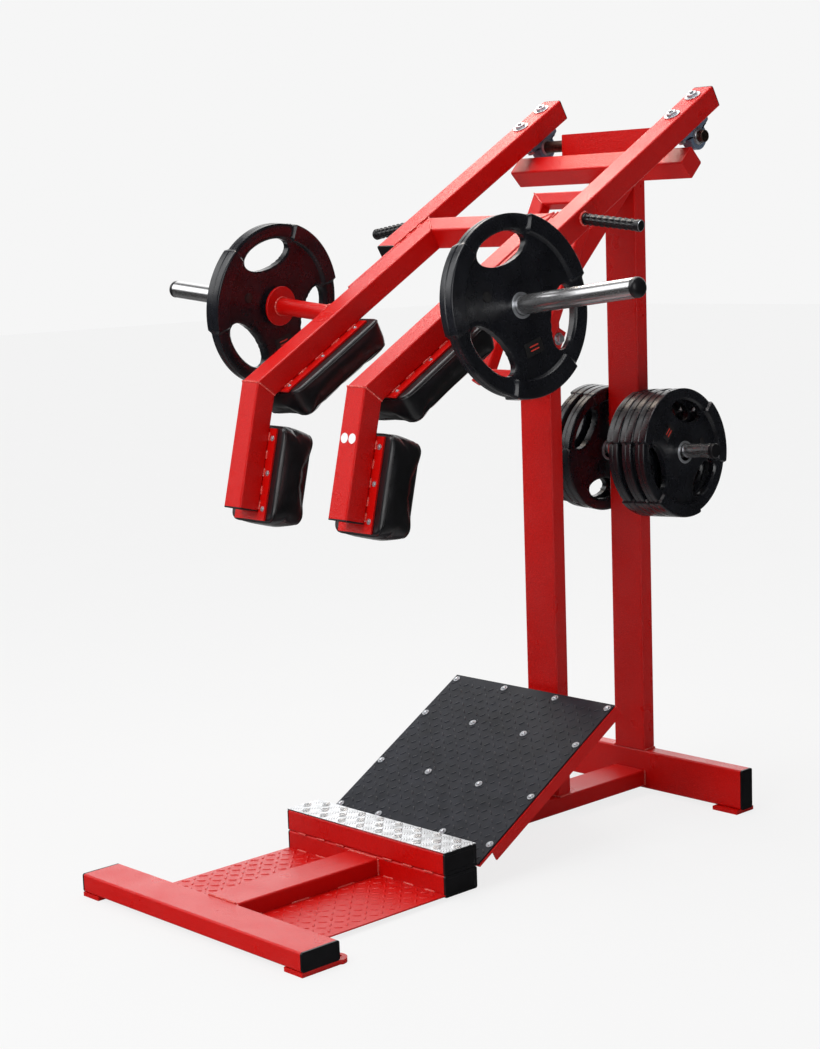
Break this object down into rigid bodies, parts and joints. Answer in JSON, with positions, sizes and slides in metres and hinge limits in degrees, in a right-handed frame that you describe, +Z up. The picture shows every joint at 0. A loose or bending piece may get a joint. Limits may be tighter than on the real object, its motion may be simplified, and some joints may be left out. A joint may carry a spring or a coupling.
{
  "type": "lever squat machine",
  "caption": "Plate-loaded lever squat machine: floor frame with tread step and sloping foot platform, post with inclined brace, and a padded shoulder lever with weight horns and hand grips.",
  "frame": {"origin": "centre of the machine's footprint, on the floor", "axes": "+Z up; +Y towards the posts, the way the athlete faces; +X to the athlete's right"},
  "size_m": [1.8076, 1.946, 2.1198],
  "materials": {
    "red_paint": "glossy speckled powder coat",
    "black_plastic": "matte moulded",
    "rubber": "matte moulded",
    "vinyl": "satin upholstery vinyl over foam",
    "bright_steel": "brushed and plated",
    "dark_steel": "dull, lightly oiled",
    "cast_iron": "blue-grey enamel",
    "aluminium": "five-bar tread"
  },
  "bodies": {
    "frame": {"centre_beam": "red_paint", "floor_plate_left": "red_paint", "floor_plate_right": "red_paint", "front_crossbar": "red_paint", "front_crossbar_cap_left": "black_plastic", "front_crossbar_cap_right": "black_plastic", "front_foot_left": "red_paint", "front_foot_right": "red_paint", "hand_frame_bolt": "bright_steel", "head_brace": "red_paint", "head_crossbar": "red_paint", "main_post": "red_paint", "pivot_shaft": "dark_steel", "platform_mat": "rubber", "platform_plate": "red_paint", "platform_support": "red_paint", "rear_crossbar": "red_paint", "rear_crossbar_cap_left": "black_plastic", "rear_crossbar_cap_right": "black_plastic", "rear_foot_left": "red_paint", "rear_foot_right": "red_paint", "rear_post": "red_paint", "shaft_housing": "red_paint", "spine_beam": "red_paint", "step_lower_tube": "red_paint", "step_tread_plate": "aluminium", "step_upper_tube": "red_paint", "storage_peg_left": "bright_steel", "storage_peg_right": "bright_steel"},
    "lever": {"back_arm_left": "red_paint", "back_arm_right": "red_paint", "back_pad_left": "vinyl", "back_pad_right": "vinyl", "grip_left": "rubber", "grip_right": "rubber", "horn_left": "red_paint", "horn_right": "red_paint", "horn_sleeve_left": "bright_steel", "horn_sleeve_right": "bright_steel", "lever_crossmember": "red_paint", "outer_arm_left": "red_paint", "outer_arm_right": "red_paint", "pillow_block_left": "cast_iron", "pillow_block_right": "cast_iron", "shoulder_arm_left": "red_paint", "shoulder_arm_right": "red_paint", "shoulder_pad_left": "vinyl", "shoulder_pad_right": "vinyl"},
    "hand_frame": {"hand_frame_bottom_bar": "red_paint", "hand_frame_leg_left": "red_paint", "hand_frame_leg_right": "red_paint", "hand_frame_top_bar": "red_paint"},
    "horn_plate_left": {"horn_plate_left": "rubber"},
    "horn_plate_right": {"horn_plate_right": "rubber"},
    "storage_plate_left_1": {"storage_plate_left_1": "rubber"},
    "storage_plate_left_2": {"storage_plate_left_2": "rubber"},
    "storage_plate_right_1": {"storage_plate_right_1": "rubber"},
    "storage_plate_right_2": {"storage_plate_right_2": "rubber"},
    "storage_plate_right_3": {"storage_plate_right_3": "rubber"}
  },
  "joints": [
    {"name": "lever_lift", "type": "hinge", "parent": "frame", "child": "lever", "pos_m": [0, 0.744, 1.98], "axis": [-1, 0, 0], "range_deg": [0, 38]},
    {"name": "hand_frame_tilt", "type": "hinge", "parent": "frame", "child": "hand_frame", "pos_m": [0, 0.39, 1.421], "axis": [1, 0, 0], "range_deg": [0, 25]},
    {"name": "horn_plate_slide_left", "type": "slide", "parent": "lever", "child": "horn_plate_left", "axis": [-0.9919, -0.0641, 0.1097], "range_m": [0, 0.4]},
    {"name": "horn_plate_slide_right", "type": "slide", "parent": "lever", "child": "horn_plate_right", "axis": [0.9919, -0.0641, 0.1097], "range_m": [0, 0.4]},
    {"name": "storage_slide_left_1", "type": "slide", "parent": "frame", "child": "storage_plate_left_1", "axis": [-0.9986, 0, 0.0523], "range_m": [0, 0.08]},
    {"name": "storage_slide_left_2", "type": "slide", "parent": "storage_plate_left_1", "child": "storage_plate_left_2", "axis": [-0.9986, 0, 0.0523], "range_m": [0, 0.04]},
    {"name": "storage_slide_right_1", "type": "slide", "parent": "frame", "child": "storage_plate_right_1", "axis": [0.9986, 0, 0.0523], "range_m": [0, 0.08]},
    {"name": "storage_slide_right_2", "type": "slide", "parent": "storage_plate_right_1", "child": "storage_plate_right_2", "axis": [0.9986, 0, 0.0523], "range_m": [0, 0.04]},
    {"name": "storage_slide_right_3", "type": "slide", "parent": "storage_plate_right_2", "child": "storage_plate_right_3", "axis": [0.9986, 0, 0.0523], "range_m": [0, 0.04]}
  ]
}
